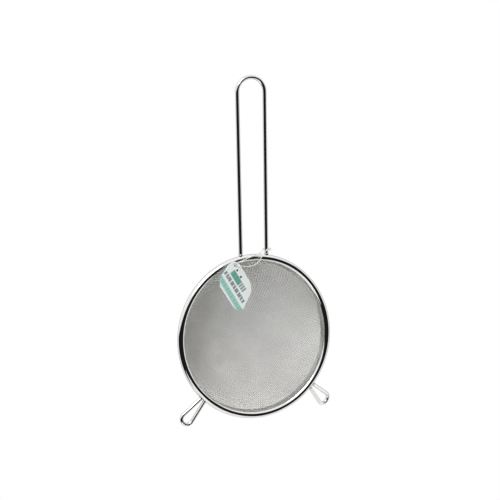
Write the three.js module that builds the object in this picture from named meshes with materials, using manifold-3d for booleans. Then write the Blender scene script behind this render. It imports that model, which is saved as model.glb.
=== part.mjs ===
// Tea strainer: a woven wire bowl held in a rolled steel rim, with a hairpin wire handle, two wire loops that rest on
// the lip of a cup, and a card tag on a moulded plastic loop.
// Millimetres. The strainer hangs by its handle: +Z is up along the handle, the bowl opens to -Y and bulges to +Y.
// The origin is where a hook bears, on the inside of the handle's round end.

import * as THREE from 'three';
import { mergeVertices } from 'three/addons/utils/BufferGeometryUtils.js';
import Module from 'manifold-3d';

const wasm = await Module();
wasm.setup();

const DEGREE = Math.PI / 180;

// Rim: a strip rolled round a core wire, with two flanges that run down the wall of the bowl.
const RIM_RADIUS = 40;
const BEAD_RADIUS = 1.7;
const STRIP = 0.35;
const CORE_RADIUS = 1;
const FLANGE_REACH = 2.95;
const ROUND_STEPS = 64;

// Cloth: a cap of a sphere, as steep as the wall where the rim grips it.
const CLOTH = 0.6;
const CLEARANCE = 0.3;
const WALL_ANGLE = 60 * DEGREE;
const CLOTH_EDGE = 1.4;
const CAP_STEPS = 12;

// Handle and rests: round wires bent into a loop.
const HANDLE = { wire: 1, halfGap: 6.7, endRadius: 7.1, reach: 84.9, sides: 12, steps: 81 };
const REST = { wire: 0.9, halfGap: 1.2, endRadius: 2.8, reach: 14.3, sides: 8, steps: 33 };
const RESTS = [
  { name: 'left_rest', azimuth: -136 * DEGREE, dip: 0 },
  { name: 'right_rest', azimuth: 132 * DEGREE, dip: 20 * DEGREE },
];

// Tag: a card on a plastic loop, with its punched hole in front of the rim.
const CARD = 0.4;
const CARD_CORNER = 1.2;
const HOLE_RADIUS = 1;
const CARD_BACK = 3;
const CARD_TURN = -57 * DEGREE;
const HOLE = { x: -10.8, z: 35.5 };
const LOOP_RADIUS = 0.3;
const LOCK = { x: 8.65, z: 41.9, width: 1.6, depth: 1.3, height: 1.5 };

const beadCentre = RIM_RADIUS - BEAD_RADIUS;

const steel = (color, roughness) => new THREE.MeshStandardMaterial({ color, roughness, metalness: 1 });
const plain = (color, roughness) => new THREE.MeshStandardMaterial({ color, roughness, metalness: 0 });

// The corners of a round section about the origin, anticlockwise, with a flat side across the x axis.
function roundOutline(radius, sides) {
  return Array.from({ length: sides }, (_, i) => {
    const angle = (2 * Math.PI * (i + 0.5)) / sides;
    return new THREE.Vector2(radius * Math.cos(angle), radius * Math.sin(angle));
  });
}

// An outline in radius and depth, put anticlockwise so that the faces it turns into point out.
function anticlockwise(outline) {
  return THREE.ShapeUtils.isClockWise(outline) ? outline.toReversed() : outline;
}

// An outline that stays off the strainer's axis, closed on itself and turned about that axis.
function turnedRing(outline) {
  const ring = anticlockwise(outline);
  return new THREE.LatheGeometry([...ring, ring[0]], ROUND_STEPS);
}

// A point of the rim's section: along the wall from the centre of the bead, and off the wall towards the open side.
function onWall(along, off) {
  const down = new THREE.Vector2(-Math.cos(WALL_ANGLE), Math.sin(WALL_ANGLE));
  const front = new THREE.Vector2(-Math.sin(WALL_ANGLE), -Math.cos(WALL_ANGLE));
  return new THREE.Vector2(beadCentre, 0).addScaledVector(down, along).addScaledVector(front, off);
}

// The far side of a circle about the bead's centre, from the front flange round to the back one.
function beadArc(radius, off, steps) {
  const start = Math.asin(off / radius);
  return Array.from({ length: steps + 1 }, (_, i) => {
    const angle = start + ((2 * Math.PI - 2 * start) * i) / steps;
    return onWall(radius * Math.cos(angle), radius * Math.sin(angle));
  });
}

// The formed strip: a keyhole section, open at the throat where the cloth goes in.
function rimBand() {
  const inner = CLOTH / 2 + CLEARANCE;
  const outer = inner + STRIP;
  const outside = [onWall(FLANGE_REACH, outer), ...beadArc(BEAD_RADIUS, outer, 12), onWall(FLANGE_REACH, -outer)];
  const inside = [onWall(FLANGE_REACH, inner), ...beadArc(BEAD_RADIUS - STRIP, inner, 10), onWall(FLANGE_REACH, -inner)];
  return turnedRing([...outside, ...inside.toReversed()]);
}

function rimWire() {
  return turnedRing(roundOutline(CORE_RADIUS, 8).map(({ x, y }) => new THREE.Vector2(beadCentre + x, y)));
}

// The cloth as one skin of even thickness: a cap from the axis out to the wall, then straight up into the throat.
function meshBowl() {
  const edge = onWall(FLANGE_REACH, 0);
  const radius = edge.x / Math.sin(WALL_ANGLE);
  const centre = edge.y - radius * Math.cos(WALL_ANGLE);
  const face = (side) => {
    const r = radius + (side * CLOTH) / 2;
    const cap = Array.from({ length: CAP_STEPS + 1 }, (_, i) => {
      const angle = (WALL_ANGLE * i) / CAP_STEPS;
      return new THREE.Vector2(r * Math.sin(angle), centre + r * Math.cos(angle));
    });
    return [...cap, onWall(CLOTH_EDGE, (-side * CLOTH) / 2)];
  };
  return new THREE.LatheGeometry(anticlockwise([...face(1), ...face(-1).toReversed()]), ROUND_STEPS);
}

// A wire's centre line, by its own length: a straight leg, a round end tangent to both legs, and a straight leg back.
// It starts and ends at y = 0, half the gap each side of x = 0.
class WireLoop extends THREE.Curve {
  constructor({ halfGap, endRadius, reach }) {
    super();
    this.radius = endRadius;
    this.centre = reach - endRadius;
    this.start = new THREE.Vector2(halfGap, 0);
    this.turn = Math.acos(endRadius / Math.hypot(halfGap, this.centre)) - Math.atan2(this.centre, halfGap);
    this.leg = this.onEnd(this.turn).distanceTo(this.start);
    this.arc = endRadius * (Math.PI - 2 * this.turn);
  }

  onEnd(angle) {
    return new THREE.Vector2(this.radius * Math.cos(angle), this.centre + this.radius * Math.sin(angle));
  }

  getUtoTmapping(u) {
    return u;
  }

  getPoint(t, target = new THREE.Vector3()) {
    const along = t * (2 * this.leg + this.arc);
    const fromStart = Math.min(along, 2 * this.leg + this.arc - along);
    if (fromStart < this.leg) {
      const p = this.start.clone().lerp(this.onEnd(this.turn), fromStart / this.leg);
      return target.set(along < this.leg ? p.x : -p.x, p.y, 0);
    }
    const p = this.onEnd(this.turn + (along - this.leg) / this.radius);
    return target.set(p.x, p.y, 0);
  }
}

// The section's flat sides face straight across the bend and along it, so that the wire can be measured.
function wireAlong(curve, radius, sides, steps) {
  return new THREE.ExtrudeGeometry(new THREE.Shape(roundOutline(radius, sides)), { steps, extrudePath: curve });
}

function bentWire(spec) {
  return wireAlong(new WireLoop(spec), spec.wire, spec.sides, spec.steps);
}

// Where a leg of the wire starts: just clear of the bead's round outside.
function legStart({ halfGap, wire }) {
  return Math.sqrt(RIM_RADIUS ** 2 - (halfGap - wire) ** 2) + CLEARANCE;
}

// The height of the hook's seat above the centre of the rim: the inside flat of the middle step of the round end.
function seatHeight() {
  const curve = new WireLoop(HANDLE);
  const halfStep = curve.getLength() / HANDLE.steps / 2 / HANDLE.endRadius;
  const flat = HANDLE.wire * Math.cos(Math.PI / HANDLE.sides);
  return legStart(HANDLE) + curve.centre + (HANDLE.endRadius - flat) * Math.cos(halfStep);
}

// An outline with each corner rounded by a curve that starts and ends CARD_CORNER away from it.
function softened(corners) {
  const shape = new THREE.Shape();
  corners.forEach((corner, i) => {
    const before = corners.at(i - 1);
    const after = corners[(i + 1) % corners.length];
    const into = corner.clone().add(before.clone().sub(corner).setLength(CARD_CORNER));
    const out = corner.clone().add(after.clone().sub(corner).setLength(CARD_CORNER));
    if (i === 0) {
      shape.moveTo(into.x, into.y);
    } else {
      shape.lineTo(into.x, into.y);
    }
    shape.quadraticCurveTo(corner.x, corner.y, out.x, out.y);
  });
  shape.closePath();
  return shape;
}

// The die-cut card, with its hole at the origin and the lines of print along x.
function hangTag() {
  const corners = [
    [-2.3, -3], [0.3, -9.9], [3.6, -12.3], [17.6, -12.3], [20.4, -9.1], [15.8, -0.7], [12.2, 1.5], [0.4, 2], [-2.1, 0.6],
  ];
  const shape = softened(corners.map(([x, y]) => new THREE.Vector2(x, y)));
  shape.holes.push(new THREE.Path(roundOutline(HOLE_RADIUS, 16).toReversed()));
  return new THREE.ExtrudeGeometry(shape, { depth: CARD, bevelEnabled: false, curveSegments: 5 });
}

// A closed geometry as a solid that can be joined to another.
function asSolid(geometry) {
  const bare = geometry.clone();
  bare.deleteAttribute('normal');
  bare.deleteAttribute('uv');
  const merged = mergeVertices(bare);
  const vertProperties = new Float32Array(merged.attributes.position.array);
  const triVerts = new Uint32Array(merged.index.array);
  return new wasm.Manifold(new wasm.Mesh({ numProp: 3, vertProperties, triVerts }));
}

function asGeometry(solid) {
  const mesh = solid.getMesh();
  const geometry = new THREE.BufferGeometry();
  geometry.setAttribute('position', new THREE.BufferAttribute(mesh.vertProperties, 3));
  geometry.setIndex(new THREE.BufferAttribute(mesh.triVerts, 1));
  geometry.computeVertexNormals();
  return geometry;
}

// The plastic loop: from its lock round the front of the leg, down over the rim, through the card's hole from the
// front, back behind the card and in front of the rim, and behind the leg into the lock.
function tagLoop() {
  const route = [
    [8.5, -0.3, 41.9], [7.9, -1.3, 41.95], [6.6, -1.8, 41.8], [5, -2.3, 40.9], [3.4, -2.75, 39.2],
    [1.3, -3.2, 36.4], [-1.4, -3.65, 35], [-4.5, -4.05, 34.5], [-7.2, -4.2, 34.75], [-9.2, -4.18, 35.2],
    [-10.5, -3.92, 35.45], [-11, -3.2, 35.5], [-10.5, -2.48, 35.7], [-8.9, -2.35, 36.4], [-6, -2.38, 37.6],
    [-2.5, -2.38, 38.9], [1.5, -2.25, 40.1], [4.1, -1.3, 41.4], [5.1, 0.3, 41.9], [6.4, 1.7, 42],
    [7.9, 1.3, 41.95], [8.5, 0.3, 41.9],
  ];
  const curve = new THREE.CatmullRomCurve3(route.map((p) => new THREE.Vector3(...p)), false, 'centripetal');
  const strand = wireAlong(curve, LOOP_RADIUS, 8, 76);
  const lock = new THREE.BoxGeometry(LOCK.width, LOCK.depth, LOCK.height);
  lock.translate(LOCK.x, 0, LOCK.z);
  return asGeometry(asSolid(strand).add(asSolid(lock)));
}

function named(name, geometry, material) {
  const mesh = new THREE.Mesh(geometry, material);
  mesh.name = name;
  return mesh;
}

// Everything is placed from the centre of the rim.
const strainer = new THREE.Group();
strainer.position.z = -seatHeight();

strainer.add(named('mesh_bowl', meshBowl(), steel(0xb4b4b0, 0.4)));
strainer.add(named('rim_band', rimBand(), steel(0xd8d8d4, 0.12)));
strainer.add(named('rim_wire', rimWire(), steel(0xc0c0bc, 0.3)));

const handle = named('handle', bentWire(HANDLE), steel(0xdcdcd8, 0.1));
handle.rotation.x = Math.PI / 2;
handle.position.z = legStart(HANDLE);
strainer.add(handle);

for (const { name, azimuth, dip } of RESTS) {
  const rest = named(name, bentWire(REST), steel(0xdcdcd8, 0.1));
  rest.rotation.x = Math.PI / 2 - dip;
  rest.position.z = legStart(REST);
  const spoke = new THREE.Group();
  spoke.rotation.y = azimuth;
  spoke.add(rest);
  strainer.add(spoke);
}

const tag = named('hang_tag', hangTag(), plain(0xeef2f0, 0.5));
tag.rotation.z = CARD_TURN;
const cardPlane = new THREE.Group();
cardPlane.rotation.x = Math.PI / 2;
cardPlane.position.set(HOLE.x, -CARD_BACK, HOLE.z);
cardPlane.add(tag);
strainer.add(cardPlane);

strainer.add(named('tag_loop', tagLoop(), plain(0xf4f6f6, 0.3)));

const teaStrainer = new THREE.Group();
teaStrainer.add(strainer);

export default teaStrainer;
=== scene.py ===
# %% [markdown]
# # A tea strainer, hanging by its handle
# The strainer is a bowl of woven wire cloth whose edge is gripped by a rolled steel rim. A long hairpin of round wire
# is the handle, two small wire loops rest on the lip of a cup, and a printed card hangs from a clear plastic loop.
# The frame holds a plain solid for each part. This lesson dresses each of them: every piece is
# a surface worked out with numpy, and every finish is a small network of shader nodes.

# %% Load the frame
import math

import bpy
import numpy as np
from mathutils import Matrix, Vector


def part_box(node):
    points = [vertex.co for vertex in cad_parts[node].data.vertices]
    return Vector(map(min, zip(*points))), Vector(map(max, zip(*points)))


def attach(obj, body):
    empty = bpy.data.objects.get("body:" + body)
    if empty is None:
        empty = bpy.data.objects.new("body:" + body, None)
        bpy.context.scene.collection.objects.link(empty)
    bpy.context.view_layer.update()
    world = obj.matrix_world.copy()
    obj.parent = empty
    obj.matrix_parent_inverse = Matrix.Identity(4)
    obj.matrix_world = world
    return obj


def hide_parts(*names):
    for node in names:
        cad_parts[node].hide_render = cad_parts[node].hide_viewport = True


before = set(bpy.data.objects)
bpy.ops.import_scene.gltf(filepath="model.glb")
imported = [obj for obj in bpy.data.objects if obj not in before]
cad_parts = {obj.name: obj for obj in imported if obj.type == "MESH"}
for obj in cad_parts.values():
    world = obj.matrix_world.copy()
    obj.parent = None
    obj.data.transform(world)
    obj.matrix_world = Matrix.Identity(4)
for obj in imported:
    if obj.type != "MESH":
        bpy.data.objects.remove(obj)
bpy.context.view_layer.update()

# %% [markdown]
# ## Where everything is
# The core wire lies in the middle of the rim, so the middle of its box is the centre of the rim. Distances in this
# file are in metres, and MM keeps the numbers readable. The strainer's own axis is Y: the bowl opens to -Y.

# %% Measure the frame
MM = 0.001


def middle(node):
    """The centre of a node's box."""
    low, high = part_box(node)
    return (np.array(low) + np.array(high)) / 2


RIM_CENTRE = middle("rim_wire")
RIM_RADIUS = (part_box("rim_band")[1][0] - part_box("rim_band")[0][0]) / 2
BOWL_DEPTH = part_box("mesh_bowl")[1][1] - RIM_CENTRE[1]
print("rim centre, mm:", (RIM_CENTRE / MM).round(2), "radius:", round(RIM_RADIUS / MM, 2))
print("bowl depth, mm:", round(BOWL_DEPTH / MM, 2))

# %% [markdown]
# ## From arrays to a mesh
# A piece is an array of points and one or more arrays of faces. Rings of points that follow each other make a tube
# or a band, and the faces between them are quads whose numbers come from the ring and the place on the ring. The
# volume inside a closed mesh is positive only if its faces point outwards, so its sign says whether to flip them.

# %% Faces of tubes and bands


def band(rings, around, closed=False, first=0):
    """Quads between each ring and the next: ring i, place j joins ring i + 1, place j + 1."""
    i = np.arange(rings if closed else rings - 1)[:, None]
    j = np.arange(around)[None, :]
    following, beside = (i + 1) % rings, (j + 1) % around
    corners = [i * around + j, i * around + beside, following * around + beside, following * around + j]
    return np.stack(corners, axis=-1).reshape(-1, 4) + first


def lids(rings, around, first=0):
    """One face over the first ring and one over the last, turned opposite ways."""
    start = first + np.arange(around)[::-1]
    end = first + (rings - 1) * around + np.arange(around)
    return np.stack([start, end])


def enclosed(points, faces):
    """The volume inside: a sixth of the triple product of each triangle's corners, summed."""
    total = 0.0
    for group in faces:
        a = points[group[:, 0]]
        for k in range(1, group.shape[1] - 1):
            total += np.einsum("ij,ij->", a, np.cross(points[group[:, k]], points[group[:, k + 1]])) / 6
    return total


print("a tube of 3 rings and 4 places has", len(band(3, 4)), "quads and", len(lids(3, 4)), "lids")

# %% [markdown]
# One function makes every piece, so each gets the same care: its faces turned outwards, smooth shading, its finish, the
# body it moves with and the plain solid it stands for. Whole arrays fill the mesh, because the cloth has
# 600,000 triangles. A steel piece also carries the attribute that its draw lines follow.

# %% From arrays to a piece


def make_piece(name, points, faces, finish, body, stands_for, straight=None):
    """Puts arrays into a mesh object with its finish, and ties it to the frame."""
    points = np.asarray(points, dtype=float).reshape(-1, 3)
    volume = enclosed(points - points.mean(axis=0), faces)
    if volume < 0:
        faces = [group[:, ::-1] for group in faces]
    loops = np.concatenate([group.ravel() for group in faces])
    sizes = np.concatenate([np.full(len(group), group.shape[1]) for group in faces])
    mesh = bpy.data.meshes.new(name)
    mesh.vertices.add(len(points))
    mesh.vertices.foreach_set("co", points.ravel())
    mesh.loops.add(len(loops))
    mesh.loops.foreach_set("vertex_index", loops.astype(np.int32))
    mesh.polygons.add(len(sizes))
    mesh.polygons.foreach_set("loop_start", (np.cumsum(sizes) - sizes).astype(np.int32))
    mesh.polygons.foreach_set("use_smooth", np.ones(len(sizes), dtype=bool))
    mesh.update(calc_edges=True)
    if straight is not None:
        layer = mesh.attributes.new("straight", "FLOAT_VECTOR", "POINT")
        layer.data.foreach_set("vector", np.asarray(straight, dtype=float).ravel())
    mesh.materials.append(finish)
    piece = bpy.data.objects.new(name, mesh)
    bpy.context.scene.collection.objects.link(piece)
    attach(piece, body)
    if stands_for:
        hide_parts(stands_for)
    print(f"{name}: {int((sizes - 2).sum())} triangles, {abs(volume) / MM**3:.1f} cubic mm")
    return piece


# %% [markdown]
# ## Shader sums written as Python
# A shader is a network of nodes, and its maths reads badly as a list of links. Value wraps a node's output, and the
# ordinary operators on it each add one Math node. Every other node comes from Finish.node, which takes the node's
# type, its settings and what goes into its sockets.

# %% Finish and Value


class Finish:
    """The nodes of a material, or of the room, under construction."""

    def __init__(self, holder):
        self.holder = holder
        holder.use_nodes = True
        self.tree = holder.node_tree
        self.tree.nodes.clear()

    def node(self, kind, settings=None, inputs=None, output=0):
        """Adds a node: its settings first, then a number, a colour or a Value for each named socket."""
        made = self.tree.nodes.new(kind)
        for key, setting in (settings or {}).items():
            setattr(made, key, setting)
        for key, given in (inputs or {}).items():
            if isinstance(given, Value):
                self.tree.links.new(given.socket, made.inputs[key])
            else:
                made.inputs[key].default_value = given
        return Value(self, made.outputs[output]) if made.outputs else None

    def surface(self, inputs):
        """Sends a Principled shader with these inputs to the output, and gives the finished material."""
        shader = self.node("ShaderNodeBsdfPrincipled", inputs=inputs)
        self.node("ShaderNodeOutputMaterial", inputs={"Surface": shader})
        return self.holder


class Value:
    """A node's output that Python's operators work on."""

    def __init__(self, finish, socket):
        self.finish, self.socket = finish, socket

    def math(self, operation, first, second):
        """One Math node, whose two inputs are numbers or Values."""
        return self.finish.node("ShaderNodeMath", {"operation": operation}, {0: first, 1: second})

    def __add__(self, other):
        return self.math("ADD", self, other)

    def __sub__(self, other):
        return self.math("SUBTRACT", self, other)

    def __rsub__(self, other):
        return self.math("SUBTRACT", other, self)

    def __mul__(self, other):
        return self.math("MULTIPLY", self, other)

    __radd__, __rmul__ = __add__, __mul__

    def between(self, low, high, soft):
        """1 where the value lies between two numbers, fading to 0 over the softness on each side."""
        return self.step(low, soft) * (1 - self.step(high, soft))

    def step(self, edge, soft):
        """A smooth rise from 0 to 1 around an edge."""
        limits = {"Value": self, "From Min": edge - soft, "From Max": edge + soft}
        return self.finish.node("ShaderNodeMapRange", {"interpolation_type": "SMOOTHSTEP"}, limits)


# %% [markdown]
# A Mix node has one set of sockets for each kind of data, with the same names, so its colour sockets are picked by
# number. Noise gives every finish its small unevenness, and stretching its coordinate draws it out into lines.

# %% Colour and noise helpers
MIX_FACTOR, MIX_FIRST, MIX_SECOND, MIX_RESULT = 0, 6, 7, 2


def new_finish(name):
    """An empty material, ready for its nodes."""
    return Finish(bpy.data.materials.new(name))


def mixed(finish, factor, first, second):
    """A colour between two colours."""
    inputs = {MIX_FACTOR: factor, MIX_FIRST: first, MIX_SECOND: second}
    return finish.node("ShaderNodeMix", {"data_type": "RGBA"}, inputs, output=MIX_RESULT)


def noise(finish, vector, scale, detail=2.0):
    """Cloudy values near a half."""
    return finish.node("ShaderNodeTexNoise", inputs={"Vector": vector, "Scale": scale, "Detail": detail})


def grey(tone):
    """A colour without a tint."""
    return (tone, tone, tone, 1)


def stretched(finish, vector, scale):
    """A coordinate scaled differently along each axis, so that a pattern is drawn out."""
    return finish.node("ShaderNodeVectorMath", {"operation": "MULTIPLY"}, {0: vector, 1: scale})


# %% [markdown]
# ## Polished wire
# The handle and the rests are stainless wire that was drawn through a die and tumbled bright. It mirrors the room,
# with hair-fine draw lines along it that only soften the reflection a little. The lines must follow the bend, so each
# wire carries an attribute, straight, that says where each point was before bending: across the wire in x and y, and
# along it in z. Noise that is fine in x and y and long in z then looks drawn.

# %% Polished steel finish
STAIN_SCALE = 160.0
STAIN_TONE = 0.9
STAIN_ROUGH = 0.02
DRAW_DEPTH = 0.00002


def steel(name, colour, rough, lines, line_scale, bump):
    """Bright metal. The roughness is rough, plus lines times a noise drawn out by line_scale, plus a little of a
    coarse noise that also stains the colour. The height follows the drawn noise."""
    finish = new_finish(name)
    straight = finish.node("ShaderNodeAttribute", {"attribute_name": "straight"}, output="Vector")
    drawn = noise(finish, stretched(finish, straight, line_scale), 1.0, detail=3.0)
    stain = noise(finish, straight, STAIN_SCALE)
    stained = [STAIN_TONE * c for c in colour]
    base = mixed(finish, stain.step(0.55, 0.12) * 0.5, (*colour, 1), (*stained, 1))
    height = {"Strength": bump, "Distance": DRAW_DEPTH, "Height": drawn}
    inputs = {
        "Base Color": base,
        "Metallic": 1.0,
        "Roughness": rough + lines * drawn + STAIN_ROUGH * stain,
        "Normal": finish.node("ShaderNodeBump", inputs=height),
    }
    return finish.surface(inputs)


BRIGHT, DULL = (0.86, 0.855, 0.84), (0.6, 0.59, 0.57)
polished_wire = steel("polished_wire", BRIGHT, 0.02, 0.03, (3000.0, 3000.0, 10.0), 0.01)
polished_strip = steel("polished_strip", BRIGHT, 0.02, 0.03, (3000.0, 20.0, 20.0), 0.02)
drawn_core = steel("drawn_core_wire", DULL, 0.25, 0.15, (7000.0, 7000.0, 60.0), 0.4)
print("steel finishes:", [made.name for made in (polished_wire, polished_strip, drawn_core)])

# %% [markdown]
# ## The rolled rim
# The rim is one strip of sheet, 0.35 mm thick. Rolls form it into a keyhole: a round bead over the core wire, and two
# flanges that grip the cloth. Its section is drawn as the strip's centre line, thickened by half a strip each side,
# and turned about the strainer's axis. The corner where a flange meets the bead is a small fillet, as rolls leave it.

# %% The rim's section
STRIP = 0.35 * MM
BEAD = 1.7 * MM
WALL = math.radians(60)
FLANGE_REACH = 2.95 * MM
FLANGE_OFF = 0.775 * MM
FILLET = 0.5 * MM
FLANGE_STEPS, FILLET_STEPS, BEAD_STEPS, CUT_STEPS = 9, 5, 37, 7
bead_centre = RIM_RADIUS - BEAD


def arc(centre, radius, start, end, steps):
    """Points of a circle: centre plus radius times the cosine and sine of an even run of angles."""
    angle = np.linspace(start, end, steps)
    return np.array(centre) + radius * np.stack([np.cos(angle), np.sin(angle)], axis=1)


def strip_line():
    """The strip's centre line, in lengths along the wall and off it: flange, fillet, bead, fillet, flange."""
    radius = BEAD - STRIP / 2
    fillet_along = math.sqrt((radius + FILLET) ** 2 - (FLANGE_OFF + FILLET) ** 2)
    meet = math.atan2(FLANGE_OFF + FILLET, fillet_along)
    along = np.linspace(FLANGE_REACH - STRIP / 2, fillet_along, FLANGE_STEPS)[:-1]
    flange = np.stack([along, np.full_like(along, FLANGE_OFF)], axis=1)
    turn = arc((fillet_along, FLANGE_OFF + FILLET), FILLET, -math.pi / 2, meet - math.pi, FILLET_STEPS)[:-1]
    half = np.concatenate([flange, turn])
    bead = arc((0, 0), radius, meet, 2 * math.pi - meet, BEAD_STEPS)
    return np.concatenate([half, bead, (half * (1, -1))[::-1]])


def thickened(line, half):
    """A closed outline: the line moved half a thickness each side along its normal, with half circles as ends."""
    run = np.gradient(line, axis=0)
    run /= np.linalg.norm(run, axis=1, keepdims=True)
    side = np.stack([-run[:, 1], run[:, 0]], axis=1)
    turn = math.atan2(side[-1, 1], side[-1, 0])
    end = arc(line[-1], half, turn, turn - math.pi, CUT_STEPS)[1:-1]
    turn = math.atan2(-side[0, 1], -side[0, 0])
    start = arc(line[0], half, turn, turn - math.pi, CUT_STEPS)[1:-1]
    return np.concatenate([line + half * side, end, (line - half * side)[::-1], start])


section = thickened(strip_line(), STRIP / 2)
along, off = section[:, 0], section[:, 1]
outline = np.stack(
    [bead_centre - along * math.cos(WALL) - off * math.sin(WALL), along * math.sin(WALL) - off * math.cos(WALL)],
    axis=1,
)
print("points in the rim's section:", len(outline), "bead centre, mm:", round(bead_centre / MM, 2))

# %% [markdown]
# Turning the section makes a ring without a seam, because the last step joins the first. The strip was rolled along
# its length, so its lines run round the rim: the straight attribute holds the length along the section in x, and a
# circle in y and z, which closes without a jump.

# %% Turned rings
RIM_STEPS, CORE_STEPS, CORE_SIDES = 256, 96, 16
CORE_WIRE = 1.1 * MM
LINE_RADIUS = 0.04


def about_axis(radius, depth, angle):
    """Turned points: radius times the cosine in X and the sine in Z, and the depth in Y, from the centre."""
    x, z = radius * np.cos(angle), radius * np.sin(angle)
    return np.stack([x, depth + 0 * x, z], axis=-1) + RIM_CENTRE


def ring_piece(name, outline, steps, finish, stands_for):
    """A closed outline of radius and depth, turned about the strainer's axis."""
    angle = np.linspace(0, 2 * math.pi, steps, endpoint=False)[:, None]
    points = about_axis(outline[:, 0], outline[:, 1], angle)
    length = np.cumsum(np.linalg.norm(np.diff(outline, axis=0, prepend=outline[:1]), axis=1))
    round_about = LINE_RADIUS * np.stack([np.cos(angle), np.sin(angle)], axis=-1)
    lengths = np.broadcast_to(length[:, None], (steps, len(outline), 1))
    straight = np.concatenate([lengths, np.repeat(round_about, len(outline), axis=1)], axis=-1)
    faces = [band(steps, len(outline), closed=True)]
    return make_piece(name, points, faces, finish, "strainer", stands_for, straight.reshape(-1, 3))


ring_piece("rolled_rim", outline, RIM_STEPS, polished_strip, "rim_band")
core = arc((bead_centre, 0), CORE_WIRE, 0, 2 * math.pi, CORE_SIDES + 1)[:-1]
ring_piece("core_wire", core, CORE_STEPS, drawn_core, "rim_wire")

# %% [markdown]
# ## Bent wires
# The handle and the rests share one shape: a straight leg, a round end tangent to both legs, and a leg back. A wire is
# that line with a circle carried along it. The line is flat, so the circle's two directions are the line's flat
# normal and the cross product of the normal and the run of the line. The ends sink a little into the rim, where
# welds hide them.

# %% Hairpins and tubes
LEG_GAP = 0.3 * MM
SUNK = 0.7 * MM


def hairpin(half_gap, end_radius, reach, sunk, leg_steps, end_steps):
    """The line in its own plane, x across and y out. A leg meets the end's circle square to its radius."""
    centre = reach - end_radius
    turn = math.acos(end_radius / math.hypot(half_gap, centre)) - math.atan2(centre, half_gap)
    end = arc((0, centre), end_radius, turn, math.pi - turn, end_steps)
    direction = (end[0] - (half_gap, 0)) / np.linalg.norm(end[0] - (half_gap, 0))
    out = np.linspace(-sunk, np.linalg.norm(end[0] - (half_gap, 0)), leg_steps)[:-1, None]
    leg = np.array((half_gap, 0)) + out * direction
    return np.concatenate([leg, end, (leg * (-1, 1))[::-1]])


def tube(path, reference, radius, sides):
    """A circle carried along a path: radius times the cosine along one side direction and the sine along the other.
    Gives the points ring by ring, and the same points before bending."""
    run = np.gradient(path, axis=0)
    run /= np.linalg.norm(run, axis=1, keepdims=True)
    across = np.cross(run, reference)
    across /= np.linalg.norm(across, axis=1, keepdims=True)
    upright = np.cross(across, run)
    angle = np.linspace(0, 2 * math.pi, sides, endpoint=False)
    cosine, sine = np.cos(angle)[None, :, None], np.sin(angle)[None, :, None]
    radius = np.broadcast_to(radius, len(path))[:, None, None]
    points = path[:, None] + radius * (cosine * across[:, None] + sine * upright[:, None])
    length = np.cumsum(np.linalg.norm(np.diff(path, axis=0, prepend=path[:1]), axis=1))
    flat = np.concatenate([radius * cosine, radius * sine, length[:, None, None] + 0 * cosine], axis=-1)
    return points.reshape(-1, 3), flat.reshape(-1, 3)


def leg_start(half_gap, wire):
    """How far from the rim's centre a leg starts: just clear of the round rim."""
    return math.sqrt(RIM_RADIUS**2 - (half_gap - wire) ** 2) + LEG_GAP


# %% [markdown]
# The handle is 2 mm wire. Its round end is a little wider than the gap between its legs at the rim, so the legs lean
# apart by a fraction of a degree.

# %% Handle
HANDLE_WIRE, HANDLE_GAP, HANDLE_END, HANDLE_REACH = 1.0 * MM, 6.7 * MM, 7.1 * MM, 84.9 * MM
HANDLE_LEG_STEPS, HANDLE_END_STEPS, HANDLE_SIDES = 50, 49, 20
handle_base = leg_start(HANDLE_GAP, HANDLE_WIRE)
line = hairpin(HANDLE_GAP, HANDLE_END, HANDLE_REACH, SUNK, HANDLE_LEG_STEPS, HANDLE_END_STEPS)
path = np.stack([line[:, 0], 0 * line[:, 0], line[:, 1] + handle_base], axis=1) + RIM_CENTRE
points, straight = tube(path, (0, 1, 0), HANDLE_WIRE, HANDLE_SIDES)
faces = [band(len(path), HANDLE_SIDES), lids(len(path), HANDLE_SIDES)]
make_piece("wire_handle", points, faces, polished_wire, "strainer", "handle", straight)
print("handle top, mm:", round(points[:, 2].max() / MM, 2), "frame:", round(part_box("handle")[1][2] / MM, 2))

# %% [markdown]
# Each rest is a teardrop of thinner wire. The right one dips towards the back of the bowl, so each rest has its own
# directions, worked out from how far round the rim it stands and how far it dips.

# %% Cup rests
REST_WIRE, REST_GAP, REST_END, REST_REACH = 0.9 * MM, 1.2 * MM, 2.8 * MM, 14.3 * MM
REST_LEG_STEPS, REST_END_STEPS, REST_SIDES = 16, 33, 16
RESTS = {"left_rest": (math.radians(-136), 0.0), "right_rest": (math.radians(132), math.radians(20))}
rest_base = leg_start(REST_GAP, REST_WIRE)


def rest_axes(azimuth, dip):
    """A rest's own directions in the frame, across it and out along it, and the point where its legs start."""
    outward = np.array((math.sin(azimuth), 0, math.cos(azimuth)))
    across = np.array((math.cos(azimuth), 0, -math.sin(azimuth)))
    out = outward * math.cos(dip) + np.array((0, math.sin(dip), 0))
    return across, out, outward * rest_base + RIM_CENTRE


line = hairpin(REST_GAP, REST_END, REST_REACH, SUNK, REST_LEG_STEPS, REST_END_STEPS)
for name, (azimuth, dip) in RESTS.items():
    across, out, start = rest_axes(azimuth, dip)
    path = start + line[:, :1] * across + line[:, 1:] * out
    points, straight = tube(path, np.cross(across, out), REST_WIRE, REST_SIDES)
    faces = [band(len(path), REST_SIDES), lids(len(path), REST_SIDES)]
    piece_name = name.replace("rest", "cup_rest")
    make_piece(piece_name, points, faces, polished_wire, "strainer", name, straight)

# %% [markdown]
# ## Welds
# Each leg is butt-welded to the outside of the bead. The metal flows into a small fillet that is widest where it wets
# the rim, and heat leaves it greyer and less even than the wire. A fillet is a circle carried up the leg. Its radius
# shrinks to the wire's with the square of what is left of its height, and has slight lumps round it.

# %% Weld finish and shape
WELD_RINGS, WELD_SIDES = 13, 20
WELD_SUNK = 0.9 * MM
WELD_SKIN = 0.01 * MM


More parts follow.
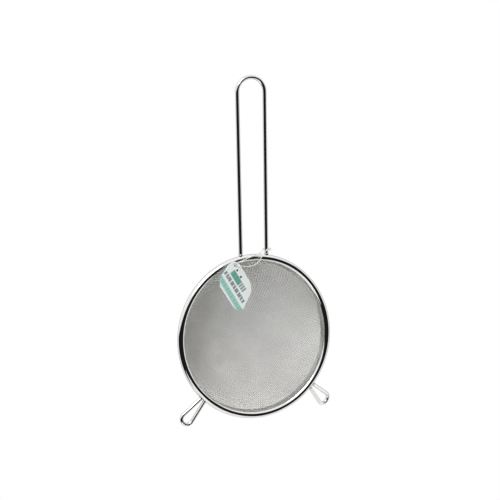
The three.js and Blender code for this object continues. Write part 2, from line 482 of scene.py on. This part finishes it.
def weld_finish():
    """Greyer steel: two tones in clouds, and lumps from two sizes of noise."""
    finish = new_finish("weld")
    place = finish.node("ShaderNodeTexCoord", output="Object")
    cloud = noise(finish, place, 900.0, detail=3.0)
    grain = noise(finish, place, 5000.0)
    base = mixed(finish, cloud.step(0.5, 0.2), (0.6, 0.595, 0.58, 1), (0.45, 0.44, 0.42, 1))
    height = {"Strength": 0.2, "Distance": 0.00005, "Height": cloud + 0.3 * grain}
    bumped = finish.node("ShaderNodeBump", inputs=height)
    inputs = {"Base Color": base, "Metallic": 1.0, "Roughness": 0.1 + 0.1 * grain, "Normal": bumped}
    return finish.surface(inputs)


def fillet(start, out, wire, flare, height, seed):
    """Rings up a leg: the radius is the wire's, plus the flare times the square of what is left of the height."""
    up = np.linspace(-WELD_SUNK, height, WELD_RINGS)
    left = np.clip(1 - np.clip(up, 0, None) / height, 0, 1)
    angle = np.linspace(0, 2 * math.pi, WELD_SIDES, endpoint=False)
    wide, fine = 0.05 * np.sin(3 * angle + seed), 0.03 * np.sin(5 * angle + 2 * seed)
    lumps = 1 + left[:, None] * (wide + fine)
    radius = (wire + WELD_SKIN + flare * left**2)[:, None] * lumps
    side = np.array((0, 1, 0)) - out * out[1]
    side /= np.linalg.norm(side)
    other = np.cross(out, side)
    rings = radius[..., None] * (np.cos(angle)[None, :, None] * side + np.sin(angle)[None, :, None] * other)
    return (start + up[:, None] * out)[:, None] + rings


# %% [markdown]
# All six fillets are one piece, because they are part of the rim and the wires and never come off. Each starts where
# its leg meets the bead.

# %% Welds
HANDLE_FLARE, HANDLE_FILLET = 0.06 * MM, 0.4 * MM
REST_FLARE, REST_FILLET = 0.08 * MM, 0.45 * MM
upward = np.array((0.0, 0.0, 1.0))
spots = []
for sign in (-1, 1):
    foot = RIM_CENTRE + (sign * HANDLE_GAP, 0, handle_base - LEG_GAP)
    spots.append((foot, upward, HANDLE_WIRE, HANDLE_FLARE, HANDLE_FILLET))
for azimuth, dip in RESTS.values():
    across, out, start = rest_axes(azimuth, dip)
    for sign in (-1, 1):
        foot = start + sign * REST_GAP * across - LEG_GAP * out
        spots.append((foot, out, REST_WIRE, REST_FLARE, REST_FILLET))
fillets = [fillet(*spot, seed) for seed, spot in enumerate(spots)]
points = np.concatenate([f.reshape(-1, 3) for f in fillets])
starts = WELD_RINGS * WELD_SIDES * np.arange(len(spots))
faces = [
    np.concatenate([band(WELD_RINGS, WELD_SIDES, first=start) for start in starts]),
    np.concatenate([lids(WELD_RINGS, WELD_SIDES, first=start) for start in starts]),
]
make_piece("welds", points, faces, weld_finish(), "strainer", None)

# %% [markdown]
# ## Woven wire cloth
# The bowl starts as flat plain-woven cloth: each wire passes over one crossing wire and under the next. A press
# stretches it over a round punch. A picture of a weave on a smooth bowl would look solid from the side, so here every
# wire is real. On a sphere, the wires of one set lie in parallel planes an even angle apart, and those of the other
# set lie across them, so a crossing is the point whose two sideways coordinates are the radius times the sines of
# the two wires' angles. A wire's distance from the sphere's centre rises and falls with a cosine that changes sign
# from one crossing to the next and from one wire to the next.

# %% Size of the weave
PITCH = 0.8 * MM
CLOTH_WIRE = 0.21 * MM
WEAVE_TURN = math.radians(25.5)
CLOTH_HALF = 0.3 * MM
RISE = 1.03 * CLOTH_WIRE
PER_CROSSING = 3
WIRE_SIDES = 5
CLOTH_EDGE = math.radians(61.6)
wall_edge = np.array((bead_centre - FLANGE_REACH * math.cos(WALL), FLANGE_REACH * math.sin(WALL)))
BOWL_RADIUS = wall_edge[0] / math.sin(WALL)
bowl_centre = BOWL_DEPTH - CLOTH_HALF - BOWL_RADIUS
print("bowl radius, mm:", round(BOWL_RADIUS / MM, 2), "wires a set:", int(2 * CLOTH_EDGE * BOWL_RADIUS / PITCH))

# %% [markdown]
# The wire is drawn and annealed but not polished, so it is satin. It is rough enough to spread the room's reflection,
# because a mirror finish on so many thin wires would only sparkle.

# %% Woven steel finish


def cloth_finish():
    """Satin wire: slightly warm steel, a little duller in faint clouds."""
    finish = new_finish("woven_steel")
    place = finish.node("ShaderNodeTexCoord", output="Object")
    cloud = noise(finish, place, 90.0, detail=3.0)
    base = mixed(finish, cloud.step(0.5, 0.15), (0.86, 0.855, 0.83, 1), (0.8, 0.795, 0.77, 1))
    inputs = {"Base Color": base, "Metallic": 1.0, "Roughness": 0.4 + 0.1 * cloud}
    return finish.surface(inputs)


woven_steel = cloth_finish()
print("cloth finish:", woven_steel.name)

# %% [markdown]
# Each set is made as two pieces, its even and its odd wires, because one piece should stay under 200,000 triangles.
# All the rings of all the wires are one long array. Where one wire's rings end and the next one's start, the quads
# between them are left out, and each wire gets its two lids.

# %% Wires of the cloth


def wire_set(own, other, sign, part):
    """Rings of points for every second wire of one set. own is the sideways coordinate that tells the wires of the
    set apart, and other is the one that a wire runs along."""
    step = PITCH / BOWL_RADIUS
    limit = math.sin(CLOTH_EDGE)
    count = int(CLOTH_EDGE / step)
    number = np.arange(-count, count + 1)
    number = number[number % 2 == part]
    half = np.floor(np.arcsin(np.sqrt(limit**2 - np.sin(number * step) ** 2)) / step * PER_CROSSING).astype(int)
    number, half = number[half > PER_CROSSING], half[half > PER_CROSSING]
    rings = 2 * half + 1
    first = np.cumsum(rings) - rings
    wire = np.repeat(np.arange(len(number)), rings)
    k = np.arange(rings.sum()) - first[wire] - half[wire]
    u, v = number[wire] * step, k * step / PER_CROSSING
    phase = math.pi * (k / PER_CROSSING + number[wire])
    lift, slope = sign * RISE * np.cos(phase), -sign * RISE * math.pi / step * np.sin(phase)
    depth = np.sqrt(1 - np.sin(u) ** 2 - np.sin(v) ** 2)
    normal, run = np.zeros((len(k), 3)), np.zeros((len(k), 3))
    normal[:, own], normal[:, other], normal[:, 2] = np.sin(u), np.sin(v), depth
    run[:, other], run[:, 2] = np.cos(v), -np.sin(v) * np.cos(v) / depth
    path = (BOWL_RADIUS + lift)[:, None] * normal
    run = (BOWL_RADIUS + lift)[:, None] * run + slope[:, None] * normal
    side = np.cross(run, normal)
    side /= np.linalg.norm(side, axis=1, keepdims=True)
    upright = np.cross(side, run / np.linalg.norm(run, axis=1, keepdims=True))
    angle = np.linspace(0, 2 * math.pi, WIRE_SIDES, endpoint=False)[None, :, None]
    points = path[:, None] + CLOTH_WIRE * (np.cos(angle) * upright[:, None] + np.sin(angle) * side[:, None])
    quads = band(len(k), WIRE_SIDES).reshape(-1, WIRE_SIDES, 4)
    quads = quads[wire[1:] == wire[:-1]].reshape(-1, 4)
    ends = np.arange(WIRE_SIDES)
    caps = [first[:, None] * WIRE_SIDES + ends[::-1], (first + rings - 1)[:, None] * WIRE_SIDES + ends]
    return points.reshape(-1, 3), [quads, np.concatenate(caps)]


def on_strainer(points):
    """From the weave's directions to the frame's: turned by the weave's angle, with the sphere's axis along Y."""
    x, z, depth = points.T
    cosine, sine = math.cos(WEAVE_TURN), math.sin(WEAVE_TURN)
    return np.stack([x * cosine - z * sine, depth + bowl_centre, x * sine + z * cosine], axis=1) + RIM_CENTRE


for name, own, other, sign in (("warp", 0, 1, 1), ("weft", 1, 0, -1)):
    for part, which in enumerate(("even", "odd")):
        points, faces = wire_set(own, other, sign, part)
        make_piece(f"{name}_wires_{which}", on_strainer(points), faces, woven_steel, "strainer", "mesh_bowl")

# %% [markdown]
# ## The printed card
# The tag is coated card, die-cut to a leaf shape, with one punched hole. Its outline is convex about the hole, so each
# point of it is joined to a point on the hole's edge by a straight line, and the card is a loop of such lines: out
# over the front, round the cut edge, back over the rear, and round the edge of the hole. A curl of an eighth of a
# millimetre keeps it from looking like a plate. A UV map in millimetres holds the flat card, for the print.

# %% Card outline
CARD = 0.35 * MM
HOLE = 0.85 * MM
CARD_TURN = math.radians(-57)
CORNER = 1.2 * MM
HOLE_PLACE = np.array((-10.8, -3.2, 35.5)) * MM + RIM_CENTRE
CORNERS = MM * np.array([
    (-2.3, -3), (0.3, -9.9), (3.6, -12.3), (17.6, -12.3), (20.4, -9.1),
    (15.8, -0.7), (12.2, 1.5), (0.4, 2), (-2.1, 0.6),
])
CORNER_STEPS, CARD_STEPS, CARD_ROWS = 9, 160, 12
HOLE_CUT, EDGE_CUT = 0.02, 0.985
CUT_HALF, FACE_HALF = 0.28, 0.5
CURL, CURL_MIDDLE, CURL_SPAN = 0.125 * MM, -5 * MM, 7 * MM


def card_outline(steps):
    """Each corner becomes a curve (1-t)^2 a + 2t(1-t) corner + t^2 b between points CORNER away; then even spacing."""
    def toward(targets):
        run = targets - CORNERS
        return CORNERS + CORNER * run / np.linalg.norm(run, axis=1, keepdims=True)

    a, b = toward(np.roll(CORNERS, 1, axis=0)), toward(np.roll(CORNERS, -1, axis=0))
    t = np.linspace(0, 1, CORNER_STEPS)[None, :, None]
    curve = (1 - t) ** 2 * a[:, None] + 2 * t * (1 - t) * CORNERS[:, None] + t**2 * b[:, None]
    curve = np.concatenate([curve.reshape(-1, 2), curve[0, :1]])
    length = np.concatenate([[0], np.cumsum(np.linalg.norm(np.diff(curve, axis=0), axis=1))])
    even = np.linspace(0, length[-1], steps, endpoint=False)
    return np.stack([np.interp(even, length, curve[:, i]) for i in (0, 1)], axis=1)


edge = card_outline(CARD_STEPS)
print("flat card, mm:", (np.ptp(edge, axis=0) / MM).round(1))

# %% Card surface


def card_surface(edge):
    """A loop of points for each point of the outline: t runs from the hole to the edge and back, h is the height."""
    angle = np.arctan2(edge[:, 1], edge[:, 0])
    hole = HOLE * np.stack([np.cos(angle), np.sin(angle)], axis=1)
    across = np.linspace(HOLE_CUT, EDGE_CUT, CARD_ROWS)
    t = np.concatenate([across, [1, 1], across[::-1], [0, 0]])
    face = np.full(CARD_ROWS, FACE_HALF)
    h = CARD * np.concatenate([face, [CUT_HALF, -CUT_HALF], -face, [-CUT_HALF, CUT_HALF]])
    flat = hole[:, None] + t[None, :, None] * (edge - hole)[:, None]
    return flat, np.broadcast_to(h, flat.shape[:2])


flat, height = card_surface(edge)
curl = CURL * ((flat[..., 1] - CURL_MIDDLE) / CURL_SPAN) ** 2
x = flat[..., 0] * math.cos(CARD_TURN) - flat[..., 1] * math.sin(CARD_TURN)
z = flat[..., 0] * math.sin(CARD_TURN) + flat[..., 1] * math.cos(CARD_TURN)
points = np.stack([x, -height + curl, z], axis=-1) + HOLE_PLACE
print("card thickness and greatest curl, mm:", round(CARD / MM, 2), round(curl.max() / MM, 2))

# %% [markdown]
# The print is made of plain bands and blocks that stand in for the words and marks such a tag has. Each is a product
# of soft steps in the card's own coordinates. Coated card is smooth and faintly mottled.

# %% Card finish


def card_finish():
    """White coated card with teal and grey print, by place on the flat card in millimetres."""
    finish = new_finish("printed_card")
    place = finish.node("ShaderNodeUVMap", {"uv_map": "flat_card"})
    s = finish.node("ShaderNodeSeparateXYZ", inputs={"Vector": place}, output="X")
    t = Value(finish, s.socket.node.outputs["Y"])
    soft = 0.12
    bend = t + 0.035 * s
    wave = finish.node("ShaderNodeMath", {"operation": "SINE"}, {0: 4.7 * s})
    ripple = finish.node("ShaderNodeMath", {"operation": "SINE"}, {0: 2.9 * s + 0.6 * t})
    bars = (wave + 0.7 * ripple).step(0.1, 0.5)
    teal = bend.between(-11.0, -8.4, soft) * s.between(-0.6, 20.0, soft)
    teal_bars = teal * bars * bend.between(-10.5, -8.9, soft)
    words = bend.between(-7.1, -5.2, soft) * s.between(-0.6, 17.2, soft) * (wave + ripple).step(-0.9, 0.5)
    block = bend.between(-4.4, -1.6, 0.3) * s.between(1.6, 8.6, 0.4)
    tail = bend.between(-4.2, -1.5, 0.3) * s.between(8.6, 13.2, soft) * wave.step(-0.6, 0.5)
    dots = s.between(2.1, 3.0, soft) * t.between(-1.2, -0.3, soft)
    dots = dots + s.between(5.8, 6.8, soft) * t.between(-1.5, -0.5, soft)
    mottle = noise(finish, place, 3.0, detail=3.0)
    colour = mixed(finish, mottle.step(0.5, 0.2), (0.8, 0.84, 0.83, 1), (0.76, 0.81, 0.8, 1))
    colour = mixed(finish, teal, colour, (0.36, 0.6, 0.53, 1))
    colour = mixed(finish, teal_bars * 0.8, colour, (0.2, 0.44, 0.37, 1))
    colour = mixed(finish, words * 0.85, colour, (0.15, 0.19, 0.18, 1))
    colour = mixed(finish, block, colour, (0.15, 0.4, 0.3, 1))
    colour = mixed(finish, block * bars * 0.9, colour, (0.12, 0.3, 0.25, 1))
    colour = mixed(finish, tail * 0.8, colour, (0.15, 0.2, 0.19, 1))
    colour = mixed(finish, dots, colour, (0.03, 0.05, 0.05, 1))
    height = finish.node("ShaderNodeBump", inputs={"Strength": 0.1, "Distance": 0.0001, "Height": mottle})
    inputs = {"Base Color": colour, "Roughness": 0.35 + 0.1 * mottle, "Normal": height, "Coat Weight": 0.3}
    return finish.surface(inputs)


# %% The card
faces = [band(*flat.shape[:2], closed=True)]
card = make_piece("hanging_card", points, faces, card_finish(), "tag", "hang_tag")
uv = card.data.uv_layers.new(name="flat_card")
corner_point = np.zeros(len(card.data.loops), dtype=np.int32)
card.data.loops.foreach_get("vertex_index", corner_point)
uv.data.foreach_set("uv", (flat / MM).reshape(-1, 2)[corner_point].ravel())
print("print map, mm:", (flat / MM).min(axis=(0, 1)).round(1), "to", (flat / MM).max(axis=(0, 1)).round(1))

# %% [markdown]
# ## The plastic loop
# The tag's loop is moulded in one piece: a thin strand with a peg that snaps into a small lock. The plastic is springy,
# so the loop keeps an open shape. The strand follows points round the leg, over the rim and through the card, on a
# curve that passes through all of them, and the lock is a rounded box: a sphere whose coordinates are raised to a
# small power.

# %% Route of the loop
LOOP_WIRE = 0.22 * MM
LOOP_STEPS, LOOP_SIDES = 7, 10
ROUTE = MM * np.array(
    [
        (8.5, -0.3, 41.9), (7.9, -1.3, 41.95), (6.6, -1.8, 41.8), (5, -2.3, 40.9), (3.4, -2.75, 39.2),
        (1.3, -3.2, 36.4), (-1.4, -3.65, 35), (-4.5, -4.05, 34.5), (-7.2, -4.2, 34.75), (-9.2, -4.18, 35.2),
        (-10.5, -3.92, 35.45), (-11, -3.2, 35.5), (-10.5, -2.48, 35.7), (-8.9, -2.35, 36.4), (-6, -2.38, 37.6),
        (-2.5, -2.38, 38.9), (1.5, -2.25, 40.1), (4.1, -1.3, 41.4), (5.1, 0.3, 41.9), (6.4, 1.7, 42),
        (7.9, 1.3, 41.95), (8.5, 0.3, 41.9),
    ]
)
LOCK_PLACE = np.array((8.65 * MM, 0, 41.9 * MM)) + RIM_CENTRE
LOCK_HALF = (0.6 * MM, 0.5 * MM, 0.55 * MM)
LOCK_ROWS, LOCK_AROUND = 12, 24
SQUARENESS = 0.35


def through(knots, steps):
    """A Catmull-Rom curve through all the knots: each stretch is a cubic in t with its ends' slopes from neighbours."""
    padded = np.concatenate([2 * knots[:1] - knots[1:2], knots, 2 * knots[-1:] - knots[-2:-1]])
    a, b, c, d = padded[:-3], padded[1:-2], padded[2:-1], padded[3:]
    t = np.linspace(0, 1, steps, endpoint=False)[None, :, None]
    a, b, c, d = (p[:, None] for p in (a, b, c, d))
    curve = b + 0.5 * t * (c - a + t * (2 * a - 5 * b + 4 * c - d + t * (3 * (b - c) + d - a)))
    return np.concatenate([curve.reshape(-1, 3), knots[-1:]])


path = through(ROUTE, LOOP_STEPS) + RIM_CENTRE
print("strand, mm:", round(np.linalg.norm(np.diff(path, axis=0), axis=1).sum() / MM, 1))

# %% Lock


def rounded_box(centre, half, rows, around):
    """Half sizes times the cosines and sines of two angles, each raised to a power that squares the sphere off."""
    def squared(value):
        return np.sign(value) * np.abs(value) ** SQUARENESS

    lat = np.linspace(-math.pi / 2, math.pi / 2, rows + 2)[1:-1, None]
    lon = np.linspace(0, 2 * math.pi, around, endpoint=False)
    x = squared(np.cos(lat)) * squared(np.cos(lon))
    y = squared(np.cos(lat)) * squared(np.sin(lon))
    z = squared(np.sin(lat)) + 0 * x
    return (np.stack([x, y, z], axis=-1) * half + centre).reshape(-1, 3)


lock = rounded_box(LOCK_PLACE, LOCK_HALF, LOCK_ROWS, LOCK_AROUND)
print("lock, mm:", (np.ptp(lock, axis=0) / MM).round(2))

# %% [markdown]
# Thin clear plastic isn't seen as glass: so fine a strand scatters light and looks slightly milky. The shader is part
# transmission and part pale plastic, with faint ripples from the mould.

# %% Plastic finish


def clear_plastic():
    """Slightly milky plastic, with faint ripples."""
    finish = new_finish("clear_plastic")
    place = finish.node("ShaderNodeTexCoord", output="Object")
    ripple = noise(finish, place, 700.0)
    base = mixed(finish, ripple, (0.97, 0.97, 0.93, 1), (0.92, 0.93, 0.9, 1))
    inputs = {"Base Color": base, "Roughness": 0.25 + 0.1 * ripple, "IOR": 1.49, "Transmission Weight": 0.35}
    return finish.surface(inputs)


# %% The loop
points, _ = tube(path, path - path.mean(axis=0), LOOP_WIRE, LOOP_SIDES)
first = len(points)
faces = [
    np.concatenate([band(len(path), LOOP_SIDES), band(LOCK_ROWS, LOCK_AROUND, first=first)]),
    lids(len(path), LOOP_SIDES),
    lids(LOCK_ROWS, LOCK_AROUND, first=first),
]
points = np.concatenate([points, lock])
make_piece("clear_loop", points, faces, clear_plastic(), "loop", "tag_loop")

# %% [markdown]
# ## Camera
# The camera stands nine tenths of a metre from the rim, a little above it and to its left, with a long lens. It is
# aimed above the rim, so that the handle fits in, and leans by one degree.

# %% Camera
TOWARD_CAMERA = np.array((-0.3896, -0.909, 0.1478))
DISTANCE = 0.9
LEAN = math.radians(0.95)
AIM_RIGHT, AIM_UP = -2.37 * MM, 41.7 * MM
FOCAL_LENGTH, SENSOR_WIDTH = 133.95, 36
CLIP = (0.05, 20)


def unit(vector):
    """The vector at length one."""
    return vector / np.linalg.norm(vector)


toward = unit(TOWARD_CAMERA)
up = unit(upward - toward * (upward @ toward))
right = np.cross(up, toward)
right, up = right * math.cos(LEAN) - up * math.sin(LEAN), right * math.sin(LEAN) + up * math.cos(LEAN)
place = RIM_CENTRE + DISTANCE * toward
aim = RIM_CENTRE + AIM_RIGHT * right + AIM_UP * up
back = unit(place - aim)
right = unit(np.cross(up, back))
up = np.cross(back, right)

lens = bpy.data.cameras.new("camera")
lens.lens, lens.sensor_width = FOCAL_LENGTH, SENSOR_WIDTH
lens.clip_start, lens.clip_end = CLIP
camera = bpy.data.objects.new("camera", lens)
turned = Matrix(np.stack([right, up, back], axis=1).tolist()).to_4x4()
camera.matrix_world = Matrix.Translation(Vector(place)) @ turned
bpy.context.scene.collection.objects.link(camera)
bpy.context.scene.camera = camera
bpy.context.scene.view_settings.view_transform = "Standard"
print("camera at, mm:", (place / MM).round(1))

# %% [markdown]
# ## Studio
# Bright wire shows the room more than itself. The room is white behind the strainer and above it, and nearly black on
# the camera's side. That is what draws a black core and thin bright edges on each wire. Straight behind, it is grey
# again, which leaves a hairline at each outline that keeps bright metal apart from the white background. The camera
# itself sees the room white everywhere.

# %% Room
WHITE_SIDE = (0.39, 0.91, -0.15)
HIGH_SIDE = (-0.183, 0.23, 0.956)
WHITE, DARK, FAR_BACK = grey(1), (0.012, 0.012, 0.013, 1), grey(0.3)


def room():
    """A world that is white to the camera. To all else it is white behind and above, grey far back and dark in front.
    How far a direction lies behind or above is its dot product with that side's direction."""
    world = bpy.data.worlds.new("room")
    bpy.context.scene.world = world
    finish = Finish(world)
    direction = finish.node("ShaderNodeTexCoord", output="Generated")

    def towards(side):
        settings, inputs = {"operation": "DOT_PRODUCT"}, {0: direction, 1: side}
        return finish.node("ShaderNodeVectorMath", settings, inputs, output="Value")

    away, above = towards(WHITE_SIDE), towards(HIGH_SIDE)
    behind = away.step(-0.12, 0.12)
    bright = behind.math("MAXIMUM", behind, above.step(0.2, 0.08))
    seen = finish.node("ShaderNodeLightPath", output="Is Camera Ray")
    colour = mixed(finish, bright, DARK, WHITE)
    colour = mixed(finish, away.step(0.6, 0.15), colour, FAR_BACK)
    colour = mixed(finish, seen, colour, WHITE)
    glow = finish.node("ShaderNodeBackground", inputs={"Color": colour, "Strength": 1.0})
    finish.node("ShaderNodeOutputWorld", inputs={"Surface": glow})
    return world


print("world:", room().name)

# %% [markdown]
# One large soft light stands high above the camera, a little to its left. A second one in front lights the card,
# which would be dull without it. It isn't mirrored, because it would put a white patch into the steel's black cores.

# %% Lamps


def soft_light(name, place, size, power, mirrored=True):
    """A square lamp that faces the rim's centre from a place given from there."""
    lamp = bpy.data.lights.new(name, "AREA")
    lamp.shape, lamp.size, lamp.energy = "SQUARE", size, power
    holder = bpy.data.objects.new(name, lamp)
    holder.visible_glossy = mirrored
    target = Vector(RIM_CENTRE)
    holder.location = target + Vector(place)
    holder.rotation_euler = (target - holder.location).to_track_quat("-Z", "Y").to_euler()
    bpy.context.scene.collection.objects.link(holder)
    print(f"{name}: {size} m wide, {power} W, {Vector(place).length:.2f} m from the rim")


soft_light("high_left_softbox", (-0.42, -0.55, 0.82), 0.55, 4.0)
soft_light("front_fill", (-0.5, -1.2, 0.1), 0.6, 6.2, mirrored=False)

# %% [markdown]
# The strainer hangs, so the floor is well below it. It is a strip of pale paper that runs towards the camera. It is
# narrow, because a wide floor would be mirrored in the rim as a broad grey band. It glows to the camera only, so that
# it runs into the white behind it.

# %% Floor
FLOOR_DROP = 0.4
FLOOR_HALF = 0.28
FLOOR_ENDS = (-0.6, 0.7)
FLOOR_ROWS, FLOOR_COLUMNS = 9, 5
BLACK, FLOOR_GLOW = grey(0), grey(0.85)


def floor_finish():
    """Matt pale paper with a faint grain. Its glow is black to all rays but the camera's."""
    finish = new_finish("pale_floor")
    place = finish.node("ShaderNodeTexCoord", output="Object")
    grain = noise(finish, place, 40.0)
    base = mixed(finish, grain, grey(0.8), grey(0.77))
    seen = finish.node("ShaderNodeLightPath", output="Is Camera Ray")
    glow = mixed(finish, seen, BLACK, FLOOR_GLOW)
    inputs = {"Base Color": base, "Roughness": 0.9, "Emission Color": glow, "Emission Strength": 1.0}
    return finish.surface(inputs)


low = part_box("left_rest")[0][2] - FLOOR_DROP
forward = unit(toward * (1, 1, 0))
sideways = np.array((-forward[1], forward[0], 0.0))
rows, columns = np.linspace(*FLOOR_ENDS, FLOOR_ROWS), np.linspace(-FLOOR_HALF, FLOOR_HALF, FLOOR_COLUMNS)
u, v = np.meshgrid(rows, columns, indexing="ij")
paper = u[..., None] * forward + v[..., None] * sideways + (0, 0, low)
i, j = np.arange(FLOOR_ROWS - 1)[:, None], np.arange(FLOOR_COLUMNS - 1)[None, :]
corner = FLOOR_COLUMNS * i + j
quads = np.stack([corner, corner + 1, corner + FLOOR_COLUMNS + 1, corner + FLOOR_COLUMNS], axis=-1).reshape(-1, 4)
floor_mesh = bpy.data.meshes.new("floor")
floor_mesh.from_pydata(paper.reshape(-1, 3).tolist(), [], quads.tolist())
floor_mesh.materials.append(floor_finish())
floor = bpy.data.objects.new("floor", floor_mesh)
bpy.context.scene.collection.objects.link(floor)
print("floor, mm below the hook:", round(-low / MM))
